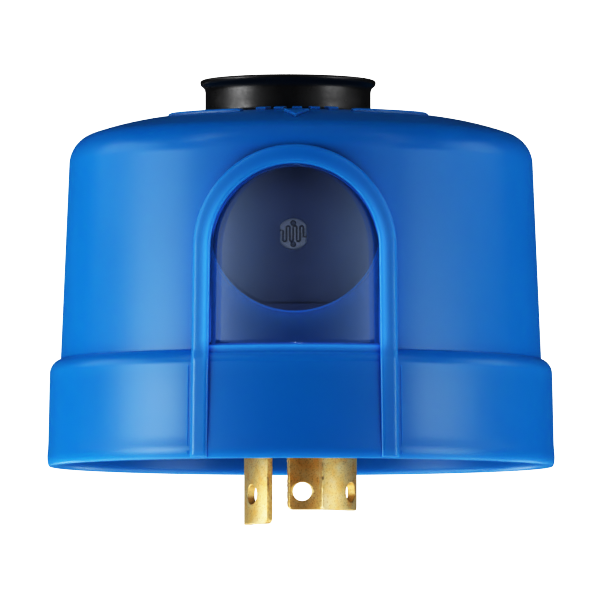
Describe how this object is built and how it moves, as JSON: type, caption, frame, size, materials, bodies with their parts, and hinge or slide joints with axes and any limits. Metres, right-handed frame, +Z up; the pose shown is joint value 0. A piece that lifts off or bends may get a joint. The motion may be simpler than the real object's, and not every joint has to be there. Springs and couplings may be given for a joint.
{
  "type": "photocell switch",
  "caption": "Twist-lock photocell switch for an outdoor light: domed blue cover with a wide skirt and arched sensor window, black crown collar and curved brass plug blades.",
  "frame": {"origin": "on the cover's axis at the lower face of the sealing gasket, the plane that seats on the lamp's socket", "axes": "+Z up through the crown, blades point along -Z, the window faces -Y"},
  "size_m": [0.084, 0.084, 0.0735],
  "materials": {
    "blue_plastic": "satin moulded, slightly translucent",
    "clear_pane": "clear polished",
    "black_plastic": "satin",
    "base_plastic": "fine matte",
    "gasket_foam": "closed-cell foam",
    "brass": "rolled strip with sheared edges",
    "board": "solder mask",
    "steel": "zinc plated",
    "holder_plastic": "dark matte",
    "sensor_ceramic": "coated ceramic",
    "tinned_wire": "tinned",
    "relay_case": "glossy",
    "capacitor_case": "glossy",
    "sleeve": "shrink sleeve",
    "varistor_coat": "dipped epoxy",
    "moulded_epoxy": "moulded",
    "zener_glass": "glossy",
    "resistor_coat": "lacquered",
    "wire_white": "PVC",
    "wire_black": "PVC",
    "wire_red": "PVC"
  },
  "bodies": {
    "root": {"cover": "blue_plastic", "window_lens": "clear_pane", "crown_collar": "black_plastic", "base_plate": "base_plastic", "gasket": "gasket_foam", "neutral_blade": "brass", "line_blade": "brass", "load_blade": "brass", "blade_rivets": "brass", "circuit_board": "board", "board_screws": "steel", "sensor_holder": "holder_plastic", "light_sensor": "sensor_ceramic", "sensor_leads": "tinned_wire", "relay": "relay_case", "film_capacitor": "capacitor_case", "electrolytic_capacitor": "sleeve", "surge_varistor": "varistor_coat", "bridge_rectifier": "moulded_epoxy", "transistor": "moulded_epoxy", "zener_diode": "zener_glass", "flyback_diode": "moulded_epoxy", "resistors": "resistor_coat", "neutral_wire": "wire_white", "line_wire": "wire_black", "load_wire": "wire_red"}
  },
  "joints": []
}
